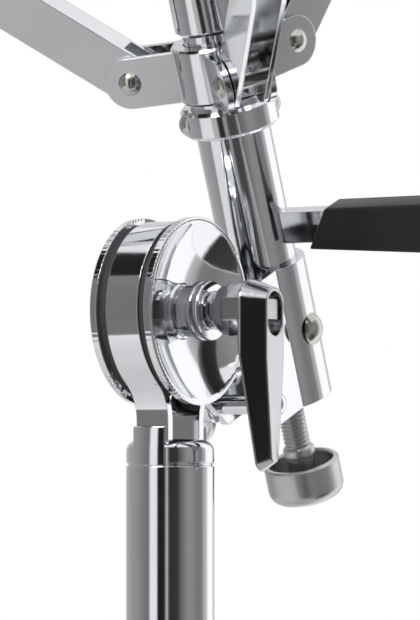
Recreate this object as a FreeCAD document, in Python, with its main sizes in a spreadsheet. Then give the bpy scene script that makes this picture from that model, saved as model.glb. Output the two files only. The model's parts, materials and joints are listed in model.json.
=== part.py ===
import FreeCAD, Part
import Sketcher
import math
import os
from FreeCAD import Placement, Rotation, Vector

doc = FreeCAD.newDocument("snare_stand")
sheet = doc.addObject("Spreadsheet::Sheet", "Dims")


class Size:
    # a number together with the sheet expression that it comes from
    def __init__(self, value, text):
        self.value = value
        self.text = text

    def __add__(self, other):
        other = as_size(other)
        return Size(self.value + other.value, "(%s + %s)" % (self.text, other.text))

    def __sub__(self, other):
        other = as_size(other)
        return Size(self.value - other.value, "(%s - %s)" % (self.text, other.text))

    def __mul__(self, other):
        other = as_size(other)
        return Size(self.value * other.value, "(%s * %s)" % (self.text, other.text))

    def __truediv__(self, other):
        other = as_size(other)
        return Size(self.value / other.value, "(%s / %s)" % (self.text, other.text))

    def __radd__(self, other):
        return as_size(other) + self

    def __rsub__(self, other):
        return as_size(other) - self

    def __rmul__(self, other):
        return as_size(other) * self

    def __neg__(self):
        return Size(-self.value, "(0 - %s)" % self.text)


def as_size(thing):
    if isinstance(thing, Size):
        return thing
    return Size(float(thing), "(%r)" % float(thing))


def root(thing):
    return Size(math.sqrt(thing.value), "sqrt(%s)" % thing.text)


def sine(angle):
    return Size(math.sin(math.radians(angle.value)), "sin(%s * 1 deg)" % angle.text)


def cosine(angle):
    return Size(math.cos(math.radians(angle.value)), "cos(%s * 1 deg)" % angle.text)


row = 0


def size(alias, value, meaning):
    global row
    row = row + 1
    sheet.set("A%d" % row, meaning)
    sheet.set("B%d" % row, str(value))
    sheet.setAlias("B%d" % row, alias)
    return Size(float(value), "Dims." + alias)


# tubes and heights
axle_height = size("axle_height", 480, "tilter axle above the floor")
post_dia = size("post_dia", 25.4, "post outside diameter")
post_wall = size("post_wall", 1.5, "post wall")
post_drop = size("post_drop", 44, "post rim below the axle")
post_low = size("post_low", 160, "post's lower end above the floor")
base_dia = size("base_dia", 30, "base tube outside diameter")
base_wall = size("base_wall", 1.5, "base tube wall")
base_top = size("base_top", 332, "base tube's upper end above the floor")
run_gap = size("run_gap", 0.08, "radial running clearance")
side_gap = size("side_gap", 0.3, "clearance between moving sides")
# tripod
leg_angle = size("leg_angle", 38, "legs and braces from the horizontal")
leg_length = size("leg_length", 292, "leg from its pivot to its end")
leg_arm = size("leg_arm", 125, "leg pivot to brace pivot, and the brace's own length")
leg_width = size("leg_width", 16, "leg channel width")
leg_depth = size("leg_depth", 14, "leg channel depth")
leg_sheet = size("leg_sheet", 1.5, "leg sheet")
foot_lift = size("foot_lift", 14, "leg end's middle above the floor")
lug_radius = size("lug_radius", 32, "lug pivots from the tube axis")
hub_dia = size("hub_dia", 42, "collar and hub outside diameter")
hub_height = size("hub_height", 22, "collar and hub height")
strip_sheet = size("strip_sheet", 2, "brace strip thickness")
strip_depth = size("strip_depth", 11, "brace strip depth")
pin_dia = size("pin_dia", 5, "tripod rivet diameter")
pin_head = size("pin_head", 9, "tripod rivet head diameter")
# strap and post plug
strap_width = size("strap_width", 10.6, "strap width along the axle")
strap_sheet = size("strap_sheet", 2.5, "strap thickness")
strap_radius = size("strap_radius", 26, "strap loop outside radius")
strap_leg = size("strap_leg", 8.4, "strap leg's middle from the post axis")
strap_bend = size("strap_bend", 14, "reverse bend radius at the neck")
strap_deep = size("strap_deep", 20, "strap legs below the post rim")
# yoke, in the tilted frame
tilt = size("tilt", 22, "basket tilt in the photo")
tube_offset = size("tube_offset", 53, "basket tube axis from the axle")
tube_dia = size("tube_dia", 22.2, "basket tube outside diameter")
tube_wall = size("tube_wall", 1.5, "basket tube wall")
yoke_sheet = size("yoke_sheet", 2.3, "yoke sheet")
rim_radius = size("rim_radius", 27, "disc rim radius")
rim_face = size("rim_face", 10.2, "disc rim face from the middle plane")
tail_low = size("tail_low", 46.5, "yoke tail's lower edge below the axle")
tail_high = size("tail_high", 3.4, "yoke tail's upper edge below the axle")
axle_dia = size("axle_dia", 8, "axle bolt diameter")
dish_floor = size("dish_floor", 2, "dish floor face from the middle plane")
clamp_y = size("clamp_y", 30, "clamp bolt from the axle, across")
clamp_z = size("clamp_z", 40, "clamp bolt from the axle, down")
clamp_dia = size("clamp_dia", 6, "clamp bolt diameter")
# lever
lever_near = size("lever_near", 27, "lever's inner face from the middle plane")
lever_far = size("lever_far", 35, "lever's outer face from the middle plane")
lever_half = size("lever_half", 7.4, "lever half width at its inner face")
lever_up = size("lever_up", 8.8, "lever above the axle")
lever_down = size("lever_down", 47.6, "lever below the axle")
# basket
tube_low = size("tube_low", 44, "basket tube's end below the axle")
tube_high = size("tube_high", 66, "basket tube's top above the axle")
strut_radius = size("strut_radius", 26, "strut pivots from the tube axis")
strut_z = size("strut_z", 57.5, "strut pivots above the axle")
strut_length = size("strut_length", 75, "strut between pivots")
strut_angle = size("strut_angle", 40, "strut from the basket plane")
strut_width = size("strut_width", 10.4, "strut channel width")
strut_depth = size("strut_depth", 14.5, "strut channel depth")
basket_sheet = size("basket_sheet", 1.5, "strut and arm sheet")
arm_radius = size("arm_radius", 22, "arm pivots from the tube axis")
arm_angle = size("arm_angle", 12, "arm from the basket plane")
arm_width = size("arm_width", 14, "arm channel width")
arm_reach = size("arm_reach", 167, "claw's inner face from the arm pivot")
claw_height = size("claw_height", 36, "claw above the arm's top edge")
jacket = size("jacket", 2.2, "rubber jacket thickness")
basket_pin = size("basket_pin", 4.6, "basket rivet diameter")
basket_head = size("basket_head", 7, "basket rivet head diameter")
rod_dia = size("rod_dia", 8, "adjuster rod diameter")
bead_z = size("bead_z", 62, "bead's top below the axle")
knob_dia = size("knob_dia", 23, "adjuster knob diameter")
knob_rim = size("knob_rim", 67, "knob rim below the axle")
knob_deep = size("knob_deep", 12, "knob height")
bar_height = size("bar_height", 9.6, "grip bar height")
bar_thick = size("bar_thick", 5, "grip bar thickness")
bar_low = size("bar_low", 2.8, "grip bar's lower edge above the axle")
bar_end = size("bar_end", 106, "grip bar's end from the tube axis")
grip_low = size("grip_low", 9.3, "grip sleeve's lower start from the tube")
grip_high = size("grip_high", 17, "grip sleeve's upper start from the tube")
collar_low = size("collar_low", 38.6, "ring collar's lower edge above the axle")
collar_high = size("collar_high", 47, "ring collar's upper edge above the axle")
bush_deep = size("bush_deep", 40, "nylon bush inside the base tube")
dish_arc = size("dish_arc", 40, "curve of the dished discs")
joggle_a = size("joggle_a", 36, "yoke cheek's bend from the axle")
joggle_b = size("joggle_b", 43, "yoke cheek's meeting with the tube")
doc.recompute()

post_r = post_dia / 2
post_bore = post_r - post_wall
base_r = base_dia / 2
base_bore = base_r - base_wall
tube_r = tube_dia / 2
tube_bore = tube_r - tube_wall
collar_z = foot_lift + leg_length * sine(leg_angle)
brace_z = collar_z - 2 * leg_arm * sine(leg_angle)
base_low = brace_z - 14
strut_tip_r = strut_radius + strut_length * cosine(strut_angle)
strut_tip_z = strut_z + strut_length * sine(strut_angle)
arm_inner = (strut_tip_r - arm_radius) / cosine(arm_angle)
arm_z = strut_tip_z - arm_inner * sine(arm_angle)
post_rim = axle_height - post_drop

up = Vector(0, 0, 1)
along_x = Rotation(Vector(0, 1, 0), 90)
along_y = Rotation(Vector(1, 0, 0), -90)
axle = Placement(Vector(0, 0, axle_height.value), Rotation())
tilted = axle * Placement(Vector(), Rotation(Vector(1, 0, 0), tilt.value))
basket = tilted * Placement(Vector(0, tube_offset.value, 0), Rotation())
nodes = []


def turn(angle):
    return Placement(Vector(), Rotation(up, angle))


def shift(x, y, z):
    return Placement(Vector(x, y, z), Rotation())


def new_body(label, place):
    body = doc.addObject("PartDesign::Body", label)
    body.Label = label
    body.Placement = place
    return body


def keep(thing):
    nodes.append(thing)
    return thing


def new_sketch(body, name, role, offset=None):
    sketch = body.newObject("Sketcher::SketchObject", name)
    plane = [item for item in body.Origin.OriginFeatures if item.Role == role][0]
    sketch.AttachmentSupport = [(plane, "")]
    sketch.MapMode = "FlatFace"
    if offset is not None:
        sketch.AttachmentOffset = shift(0, 0, offset.value)
        sketch.setExpression("AttachmentOffset.Base.z", offset.text)
    return sketch


def pin_point(sketch, geometry, point, x, y):
    for kind, wanted in (("DistanceX", x), ("DistanceY", y)):
        index = sketch.addConstraint(Sketcher.Constraint(kind, -1, 1, geometry, point, wanted.value))
        sketch.setExpression("Constraints[%d]" % index, wanted.text)


def draw(sketch, corners):
    # each corner is (x, y), or (x, y, radius) when an arc leads on; a radius below zero turns right
    count = len(corners)
    spots = [(as_size(corner[0]), as_size(corner[1])) for corner in corners]
    ends = []
    for number in range(count):
        start = Vector(spots[number][0].value, spots[number][1].value, 0)
        stop_x, stop_y = spots[(number + 1) % count]
        stop = Vector(stop_x.value, stop_y.value, 0)
        if len(corners[number]) == 2:
            geometry = sketch.addGeometry(Part.LineSegment(start, stop))
            ends.append((geometry, 1, 2, None))
            continue
        radius = as_size(corners[number][2])
        chord = stop - start
        middle = (start + stop) * 0.5
        reach = math.sqrt(max(radius.value ** 2 - chord.Length ** 2 / 4, 0.0))
        left = Vector(-chord.y, chord.x, 0).normalize()
        side = 1 if radius.value > 0 else -1
        centre = middle + left * (reach * side)
        first, last = (start, stop) if side > 0 else (stop, start)
        begin = math.atan2(first.y - centre.y, first.x - centre.x)
        finish = math.atan2(last.y - centre.y, last.x - centre.x)
        if finish < begin:
            finish = finish + 2 * math.pi
        ring = Part.Circle(centre, up, abs(radius.value))
        geometry = sketch.addGeometry(Part.ArcOfCircle(ring, begin, finish))
        bare = radius if side > 0 else -radius
        ends.append((geometry, 1, 2, bare) if side > 0 else (geometry, 2, 1, bare))
    for number in range(count):
        geometry, begin, finish, radius = ends[number]
        following = ends[(number + 1) % count]
        sketch.addConstraint(Sketcher.Constraint("Coincident", geometry, finish, following[0], following[1]))
    for number in range(count):
        geometry, begin, finish, radius = ends[number]
        pin_point(sketch, geometry, begin, spots[number][0], spots[number][1])
        if radius is not None:
            index = sketch.addConstraint(Sketcher.Constraint("Radius", geometry, radius.value))
            sketch.setExpression("Constraints[%d]" % index, radius.text)


def draw_circle(sketch, x, y, radius):
    x, y, radius = as_size(x), as_size(y), as_size(radius)
    geometry = sketch.addGeometry(Part.Circle(Vector(x.value, y.value, 0), up, radius.value))
    pin_point(sketch, geometry, 3, x, y)
    index = sketch.addConstraint(Sketcher.Constraint("Radius", geometry, radius.value))
    sketch.setExpression("Constraints[%d]" % index, radius.text)


def bound_length(feature, length):
    feature.Length = length.value
    feature.setExpression("Length", length.text)


def pad(body, name, role, corners, length, offset=None, holes=(), circles=()):
    sketch = new_sketch(body, name + "_sketch", role, offset)
    if corners:
        draw(sketch, corners)
    for hole in holes:
        draw_circle(sketch, *hole)
    for circle in circles:
        draw_circle(sketch, *circle)
    feature = body.newObject("PartDesign::Pad", name)
    feature.Profile = sketch
    bound_length(feature, as_size(length))
    if offset is None:
        feature.SideType = "Symmetric"
    sketch.Visibility = False
    return feature


def pocket(body, name, role, corners=None, length=None, circles=()):
    sketch = new_sketch(body, name + "_sketch", role)
    if corners:
        draw(sketch, corners)
    for circle in circles:
        draw_circle(sketch, *circle)
    feature = body.newObject("PartDesign::Pocket", name)
    feature.Profile = sketch
    feature.SideType = "Symmetric"
    if length is None:
        feature.Type = "ThroughAll"
    else:
        bound_length(feature, as_size(length))
    sketch.Visibility = False
    return feature


def revolve(body, name, corners, kind="PartDesign::Revolution"):
    sketch = new_sketch(body, name + "_sketch", "XZ_Plane")
    draw(sketch, corners)
    feature = body.newObject(kind, name)
    feature.Profile = sketch
    feature.ReferenceAxis = (sketch, ["V_Axis"])
    feature.Angle = 360
    sketch.Visibility = False
    return feature


def around(body, name, feature, count):
    pattern = body.newObject("PartDesign::PolarPattern", name)
    pattern.Originals = feature if isinstance(feature, list) else [feature]
    axis = [item for item in body.Origin.OriginFeatures if item.Role == "Z_Axis"][0]
    pattern.Axis = (axis, [""])
    pattern.Angle = 360
    pattern.Occurrences = count
    body.Tip = pattern
    return pattern


def turned(label, place, corners):
    body = new_body(label, place)
    revolve(body, label + "_turned", corners)
    return body


def rivet(label, place, shank, grip, head, dome):
    half = as_size(grip) / 2
    ball = (head * head + dome * dome) / (2 * dome)
    corners = [(0, -half - dome, ball), (head, -half), (shank, -half), (shank, half), (head, half, ball),
               (0, half + dome)]
    return turned(label, place, corners)


def stud(label, place, shank, grip, head, dome):
    ball = (head * head + dome * dome) / (2 * dome)
    return turned(label, place, [(0, -as_size(grip)), (shank, -as_size(grip)), (shank, 0), (head, 0, ball),
                                 (0, dome)])


def group(label, things):
    bundle = doc.addObject("Part::Compound", label)
    bundle.Label = label
    bundle.Links = things
    return keep(bundle)


def ring_corners(inner, outer, low, high):
    return [(inner, low), (outer, low), (outer, high), (inner, high)]


def wing_bolt(label, place, shank, shank_length, barrel, span, wing):
    body = turned(label, place, [(0, -shank_length), (shank, -shank_length), (shank, 0), (barrel, 0),
                                 (barrel, barrel * 1.6), (barrel - 1.2, barrel * 1.6 + 1.2),
                                 (0, barrel * 1.6 + 1.2)])
    pad(body, label + "_wings", "XZ_Plane", [
        (-span, barrel * 1.1), (-span * 0.45, 0.8), (span * 0.45, 0.8), (span, barrel * 1.1),
        (span, barrel * 2.0), (span * 0.72, barrel * 2.2), (barrel * 0.6, barrel * 1.3),
        (-barrel * 0.6, barrel * 1.3), (-span * 0.72, barrel * 2.2), (-span, barrel * 2.0)], wing)
    return body


# base: tube, cap, brace hub
keep(turned("base_tube", Placement(), ring_corners(base_bore, base_r, base_low, base_top)))
keep(turned("base_cap", Placement(), [
    (0, base_low - 4), (base_r - 1, base_low - 4), (base_r, base_low - 3), (base_r, base_low),
    (base_bore, base_low), (base_bore, base_low + 9), (0, base_low + 9)]))


def lug_corners(middle, half):
    inside = hub_dia / 2 - 2
    return [(inside, middle - half), (lug_radius, middle - half, half), (lug_radius + half, middle, half),
            (lug_radius, middle + half), (inside, middle + half)]


def lugged_hub(label, place, bore, middle, width, half):
    edge = hub_height / 2
    rim = hub_dia / 2
    body = turned(label, place, [
        (bore, middle - edge), (rim - 1, middle - edge), (rim, middle - edge + 1), (rim, middle + edge - 1),
        (rim - 1, middle + edge), (bore, middle + edge)])
    lug = pad(body, label + "_lug", "XZ_Plane", lug_corners(middle, half), width,
              holes=[(lug_radius, middle, pin_dia / 2)])
    around(body, label + "_lugs", lug, 3)
    return body


brace_lug = leg_width + 2 * side_gap - 0.2
leg_inner = leg_width - 2 * leg_sheet
leg_lug = leg_inner - 2 * side_gap
keep(lugged_hub("brace_hub", turn(90), base_r, brace_z, brace_lug, as_size(5)))
collar = keep(lugged_hub("leg_collar", turn(90), base_r + run_gap, collar_z, leg_lug, as_size(5)))
bolt_boss = pad(collar, "bolt_boss", "YZ_Plane", None, 11, offset=-(hub_dia / 2 + 9),
                circles=[(0, collar_z, as_size(7)), (0, collar_z, as_size(3.08))])
hole = pocket(collar, "bolt_hole", "XZ_Plane", [
    (-(hub_dia / 2 + 10), collar_z - 3.08), (-base_r, collar_z - 3.08), (-base_r, collar_z + 3.08),
    (-(hub_dia / 2 + 10), collar_z + 3.08)], 6.16)
keep(wing_bolt("collar_wing_bolt",
               turn(90) * Placement(Vector(-(hub_dia.value / 2 + 9.3), 0, collar_z.value),
                                    Rotation(Vector(0, 1, 0), -90)),
               as_size(3), hub_dia / 2 + 9.3 - base_r - 0.4, as_size(6), as_size(18), as_size(3)))

leg_turns = (90, 210, 330)
strip_start = leg_width / 2 + side_gap + 0.1
strip_outer = strip_start + strip_sheet
pin_r = pin_dia / 2
pin_head_r = pin_head / 2
dome = as_size(1.8)
brace_pins = []
leg_pins = []
for number, angle in enumerate(leg_turns):
    side = turn(angle)
    across = Rotation(Vector(1, 0, 0), -90)
    brace_pins.append(rivet("brace_pin_%d" % (number + 1),
                            side * Placement(Vector(lug_radius.value, 0, brace_z.value), across),
                            pin_r, 2 * (strip_outer + 0.2), pin_head_r, dome))
    leg_pins.append(rivet("leg_pin_%d" % (number + 1),
                          side * Placement(Vector(lug_radius.value, 0, collar_z.value), across),
                          pin_r, leg_width + 0.4, pin_head_r, dome))
group("brace_pins", brace_pins)
group("leg_pins", leg_pins)

# legs, feet and braces; the leg's own x runs down it and the brace's own x runs up it
half_depth = leg_depth / 2
for number, angle in enumerate(leg_turns):
    tag = "_%d" % (number + 1)
    slope = turn(angle) * Placement(Vector(lug_radius.value, 0, collar_z.value),
                                    Rotation(Vector(0, 1, 0), leg_angle.value))
    leg = new_body("leg" + tag, slope)
    pad(leg, "leg_side" + tag, "XZ_Plane", [
        (0, -half_depth), (leg_length, -half_depth), (leg_length, half_depth), (0, half_depth, half_depth),
        (-half_depth, 0, half_depth)], leg_width)
    pocket(leg, "leg_hollow" + tag, "XZ_Plane", [
        (-half_depth - 1, -half_depth - 1), (leg_length + 1, -half_depth - 1),
        (leg_length + 1, half_depth - leg_sheet), (-half_depth - 1, half_depth - leg_sheet)], leg_inner)
    pocket(leg, "leg_holes" + tag, "XZ_Plane", circles=[(0, 0, pin_r + run_gap),
                                                        (leg_arm, 0, pin_r + run_gap)])
    keep(leg)
    foot = new_body("foot" + tag, slope)
    wall = half_depth + 2.4
    heel = leg_length - 27
    toe = leg_length + 4
    sole = foot_lift / cosine(leg_angle)
    fall = sine(leg_angle) / cosine(leg_angle)
    pad(foot, "foot_block" + tag, "XZ_Plane", [
        (heel, -wall), (leg_length - 14, -wall), (leg_length - 6, -sole - 6 * fall),
        (leg_length + 12, -sole + 12 * fall), (leg_length + 13, -sole + 12 * fall + 4),
        (toe, wall - 3), (toe - 3, wall), (heel, wall)], leg_width + 5)
    pocket(foot, "foot_seat" + tag, "XZ_Plane", [
        (heel - 1, -half_depth), (leg_length, -half_depth), (leg_length, half_depth),
        (heel - 1, half_depth)], leg_width)
    keep(foot)
    climb = turn(angle) * Placement(Vector(lug_radius.value, 0, brace_z.value),
                                    Rotation(Vector(0, 1, 0), -leg_angle.value))
    brace = new_body("brace" + tag, climb)
    tie = pad(brace, "brace_tie" + tag, "XZ_Plane", None, 2 * strip_outer + 1.6, circles=[(leg_arm, 0, pin_r)])
    end = strip_depth / 2
    strip = [(0, -end), (leg_arm, -end, end), (leg_arm + end, 0, end), (leg_arm, end), (0, end, end),
             (-end, 0, end)]
    hole = [(0, 0, pin_r + run_gap)]
    pad(brace, "strip_near" + tag, "XZ_Plane", strip, strip_sheet, offset=strip_start, holes=hole)
    pad(brace, "strip_far" + tag, "XZ_Plane", strip, strip_sheet, offset=-strip_outer, holes=hole)
    keep(brace)

# height clamp, bush and wing bolt at the top of the base tube
bush_r = post_r + run_gap
keep(turned("height_bush", Placement(), [
    (bush_r, base_top - bush_deep), (base_bore, base_top - bush_deep), (base_bore, base_top), (base_r, base_top),
    (base_r, base_top + 2), (bush_r, base_top + 2)]))
clamp = turned("height_clamp", Placement(), [
    (base_r, base_top - 26), (base_r + 4.5, base_top - 26), (base_r + 4.5, base_top + 5),
    (base_r + 3.5, base_top + 6), (post_r + 0.5, base_top + 6), (post_r + 0.5, base_top + 2),
    (base_r, base_top + 2)])
ear = [(-(base_r + 21), base_top - 20), (-(base_r + 2), base_top - 24), (-(base_r + 2), base_top - 2),
       (-(base_r + 21), base_top - 6)]
bolt_y = base_r + 16
bolt_z = base_top - 13
pad(clamp, "clamp_ear_near", "YZ_Plane", ear, 7.5, offset=as_size(1.5))
pad(clamp, "clamp_ear_far", "YZ_Plane", ear, 7.5, offset=as_size(-9))
pocket(clamp, "clamp_slit", "YZ_Plane", [
    (-(base_r + 22), base_top - 30), (-post_r, base_top - 30), (-post_r, base_top + 8),
    (-(base_r + 22), base_top + 8)], 3)
pocket(clamp, "clamp_bore", "YZ_Plane", circles=[(-bolt_y, bolt_z, as_size(3.08))])
keep(clamp)
keep(wing_bolt("height_wing_bolt", Placement(Vector(9.3, -bolt_y.value, bolt_z.value), along_x),
               as_size(3), as_size(20), as_size(6), as_size(16), as_size(3)))

# post: guide at its foot, tube, memory collar, plug, strap
keep(turned("post_guide", Placement(), [
    (0, post_low - 12), (base_bore - run_gap, post_low - 12), (base_bore - run_gap, post_low - 0.2),
    (post_bore - run_gap, post_low - 0.2), (post_bore - run_gap, post_low + 12), (0, post_low + 12)]))
keep(turned("post_tube", Placement(), [
    (post_bore, post_low), (post_r, post_low), (post_r, post_rim - 0.5), (post_r - 0.5, post_rim),
    (post_bore, post_rim)]))
memory = turned("memory_collar", Placement(), [
    (post_r, base_top + 6.4), (post_r + 5, base_top + 6.4), (post_r + 6, base_top + 7.4),
    (post_r + 6, base_top + 17.4), (post_r + 5, base_top + 18.4), (post_r, base_top + 18.4)])
pocket(memory, "memory_hole", "XZ_Plane", [
    (-(post_r + 7), base_top + 9.4), (-post_r, base_top + 9.4), (-post_r, base_top + 15.4),
    (-(post_r + 7), base_top + 15.4)], 6)
keep(memory)
key = new_body("memory_screw", shift(0, 0, base_top.value + 12.4))
pad(key, "memory_key", "YZ_Plane", [(-3, -3), (3, -3), (3, 3), (-3, 3)], 10.5, offset=-(post_r + 10.5))
keep(key)

leg_in = strap_leg - strap_sheet / 2
leg_out = strap_leg + strap_sheet / 2
plug = turned("post_plug", axle, [
    (0, -post_drop - 26), (post_bore, -post_drop - 26), (post_bore, -post_drop - 1),
    (leg_in - 0.6, -post_drop - 1), (leg_in - 1.4, -post_drop + 6), (0, -post_drop + 6)])
half_strap = strap_width / 2
for label, low, high in (("plug_slot_near", -leg_out, -leg_in), ("plug_slot_far", leg_in, leg_out)):
    pocket(plug, label, "YZ_Plane", [(low, -post_drop - strap_deep), (high, -post_drop - strap_deep),
                                     (high, -post_drop + 8), (low, -post_drop + 8)], strap_width)
pin_z = -post_drop - 12
pocket(plug, "plug_pin_hole", "XZ_Plane", circles=[(0, pin_z, as_size(2))])
keep(plug)

middle = strap_radius - strap_sheet / 2
neck_y = strap_leg + strap_bend
neck_z = root((middle + strap_bend) * (middle + strap_bend) - neck_y * neck_y)
share_out = strap_radius / (middle + strap_bend)
loop_in = strap_radius - strap_sheet
share_in = loop_in / (middle + strap_bend)
tight = strap_bend - strap_sheet / 2
wide = strap_bend + strap_sheet / 2
foot_z = -post_drop - strap_deep
strap = new_body("tilter_strap", axle)
pad(strap, "strap_band", "YZ_Plane", [
    (leg_in, foot_z), (leg_out, foot_z), (leg_out, -neck_z, -tight),
    (neck_y * share_out, -neck_z * share_out, strap_radius), (strap_radius, 0, strap_radius),
    (0, strap_radius, strap_radius), (-strap_radius, 0, strap_radius),
    (-neck_y * share_out, -neck_z * share_out, -tight), (-leg_out, -neck_z), (-leg_out, foot_z),
    (-leg_in, foot_z), (-leg_in, -neck_z, wide), (-neck_y * share_in, -neck_z * share_in, -loop_in),
    (-loop_in, 0, -loop_in), (0, loop_in, -loop_in), (loop_in, 0, -loop_in),
    (neck_y * share_in, -neck_z * share_in, wide), (leg_in, -neck_z)], strap_width)
pocket(strap, "strap_pin_hole", "XZ_Plane", circles=[(0, pin_z, as_size(2))])
keep(strap)
pin = doc.addObject("Part::Cylinder", "strap_pin")
pin.Radius = 2
pin.Height = 2 * leg_out.value
pin.setExpression("Height", (2 * leg_out).text)
pin.Placement = axle * Placement(Vector(0, -leg_out.value, pin_z.value), along_y)
keep(pin)

# yoke: one sheet bent round the basket tube, its two ends pressed into dished discs
flat_in = rim_face - yoke_sheet
wrap = tube_r + yoke_sheet
yoke = new_body("tilter_yoke", tilted)
tail_height = tail_low - tail_high
yoke_start = as_size(12)
pad(yoke, "yoke_tail", "XY_Plane", [
    (rim_face, yoke_start), (rim_face, joggle_a), (wrap, joggle_b), (wrap, tube_offset, wrap),
    (0, tube_offset + wrap, wrap), (-wrap, tube_offset), (-wrap, joggle_b), (-rim_face, joggle_a),
    (-rim_face, yoke_start), (-flat_in, yoke_start), (-flat_in, joggle_a + 1), (-tube_r, joggle_b + 1),
    (-tube_r, tube_offset, -tube_r), (0, tube_offset + tube_r, -tube_r), (tube_r, tube_offset),
    (tube_r, joggle_b + 1), (flat_in, joggle_a + 1), (flat_in, yoke_start)], tail_height, offset=-tail_low)
pocket(yoke, "yoke_eye", "YZ_Plane", circles=[(0, 0, rim_radius - 1.5)])
pocket(yoke, "yoke_corner", "YZ_Plane", [
    (yoke_start - 1, -tail_low - 1), (yoke_start + 19, -tail_low - 1), (yoke_start + 11, -tail_low + 9),
    (yoke_start + 6, -rim_radius + 2), (yoke_start - 1, -rim_radius + 2)])
axle_r = axle_dia / 2
for label, flip in (("disc_near", 1), ("disc_far", -1)):
    sketch = new_sketch(yoke, label + "_sketch", "XY_Plane")
    draw(sketch, [
        (flip * (dish_floor - 1.5), axle_r), (flip * dish_floor, axle_r),
        (flip * dish_floor, as_size(8.5), -dish_arc * flip), (flip * rim_face, rim_radius - 1.2),
        (flip * rim_face, rim_radius - 0.3), (flip * (rim_face - 0.3), rim_radius),
        (flip * flat_in, rim_radius), (flip * flat_in, rim_radius - 3.2, dish_arc * flip),
        (flip * (dish_floor - 1.5), as_size(8.5))])
    disc = yoke.newObject("PartDesign::Revolution", label)
    disc.Profile = sketch
    disc.ReferenceAxis = (sketch, ["H_Axis"])
    disc.Angle = 360
    sketch.Visibility = False
clamp_r = clamp_dia / 2
pocket(yoke, "yoke_clamp_holes", "YZ_Plane", circles=[(clamp_y, -clamp_z, clamp_r)])
rivet_z = as_size(-25)
pocket(yoke, "yoke_rivet_holes", "YZ_Plane", circles=[(tube_offset, rivet_z, as_size(2.5))])
keep(yoke)

ring_in = rim_radius - 3
ring_out = strap_radius - 0.6
near_x = half_strap + 0.1
group("friction_rings", [
    turned("friction_near", axle * Placement(Vector(), along_x), ring_corners(ring_in, ring_out, near_x, flat_in)),
    turned("friction_far", axle * Placement(Vector(), along_x), ring_corners(ring_in, ring_out, -flat_in, -near_x))])
keep(turned("brake_ring", axle * Placement(Vector(), along_x),
            ring_corners(loop_in - 2, loop_in - run_gap, -half_strap + 0.1, half_strap - 0.1)))
washer_start = dish_floor + 3
washer = as_size(1.275)
hub_start = washer_start + 4 * washer
keep(turned("axle_bolt", axle * Placement(Vector(), along_x), [
    (0, -dish_floor - 5.5), (5, -dish_floor - 5.5), (7.5, -dish_floor - 3), (7.5, -dish_floor),
    (axle_r, -dish_floor), (axle_r, lever_near - 1), (0, lever_near - 1)]))
keep(turned("thrust_boss", axle * Placement(Vector(), along_x), [
    (axle_r, dish_floor), (8.25, dish_floor), (8.25, washer_start - 0.6), (7.6, washer_start),
    (axle_r, washer_start)]))
washers = []
for number in range(4):
    low = washer_start + number * washer
    high = low + washer
    washers.append(turned("spring_washer_%d" % (number + 1), axle * Placement(Vector(), along_x), [
        (axle_r, low), (8.0, low), (8.5, low + 0.5), (8.5, high - 0.5), (8.0, high), (axle_r, high)]))
group("spring_washers", washers)

# wing lever with its eight-sided hub, and the key screw in its eye
lever = turned("wing_lever", axle * Placement(Vector(), along_x), [
    (axle_r + run_gap, hub_start + 0.2), (7, hub_start + 0.2), (7, hub_start + 3.6), (6.4, hub_start + 4.4),
    (6.4, lever_near + 1), (0, lever_near + 1), (0, lever_near - 0.6), (axle_r + run_gap, lever_near - 0.6)])
flat = as_size(7.5)
cut_corner = flat * (math.sqrt(2) - 1)
pad(lever, "lever_octagon", "XY_Plane", [
    (flat, -cut_corner), (flat, cut_corner), (cut_corner, flat), (-cut_corner, flat), (-flat, cut_corner),
    (-flat, -cut_corner), (-cut_corner, -flat), (cut_corner, -flat)], as_size(9), offset=hub_start + 3.7,
    holes=[(0, 0, as_size(5))])

def blade_line(inset):
    half = lever_half - inset
    top = lever_up - inset
    sag = top * 0.65
    tip = 4.6 - as_size(inset)
    arc = (half * half + sag * sag) / (2 * sag)
    end = lever_down - 2.6 - inset
    return [(-top + sag, half, arc), (-top + sag, -half), (14, -half), (end, -tip, tip * 1.12), (end, tip),
            (14, half)]


edge = lever_far - lever_near - 0.6
pad(lever, "lever_blade", "XY_Plane", blade_line(0), lever_far - lever_near - edge, offset=lever_near)
full_line = new_sketch(lever, "blade_full", "XY_Plane", lever_far - edge)
draw(full_line, blade_line(0))
inset_line = new_sketch(lever, "blade_inset", "XY_Plane", lever_far)
draw(inset_line, blade_line(2.7))
bevel = lever.newObject("PartDesign::AdditiveLoft", "lever_bevel")
bevel.Profile = full_line
bevel.Sections = [inset_line]
bevel.Ruled = True
doc.recompute()
pocket(lever, "lever_taper", "XZ_Plane", [
    (9, lever_near - 1), (lever_down + 1, lever_near - 1), (lever_down + 1, lever_near + 4), (9, lever_near)])
eye = new_sketch(lever, "lever_eye_sketch", "XY_Plane", lever_far - 4.5)
draw(eye, [(-1, 4.1, as_size(4.1)), (-5.1, 0, as_size(4.1)), (-1, -4.1), (3.5, -4.1, as_size(4.1)),
           (7.6, 0, as_size(4.1)), (3.5, 4.1)])
eye_cut = lever.newObject("PartDesign::Pocket", "lever_eye")
eye_cut.Profile = eye
eye_cut.Reversed = True
bound_length(eye_cut, as_size(10))
keep(lever)
screw = new_body("lever_key_screw", axle * Placement(Vector(), along_x))
pad(screw, "key_head", "XY_Plane", [(-2.9, -2.9), (2.9, -2.9), (2.9, 2.9), (-2.9, 2.9)], as_size(3.6),
    offset=lever_far - 4.5)
keep(screw)

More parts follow.
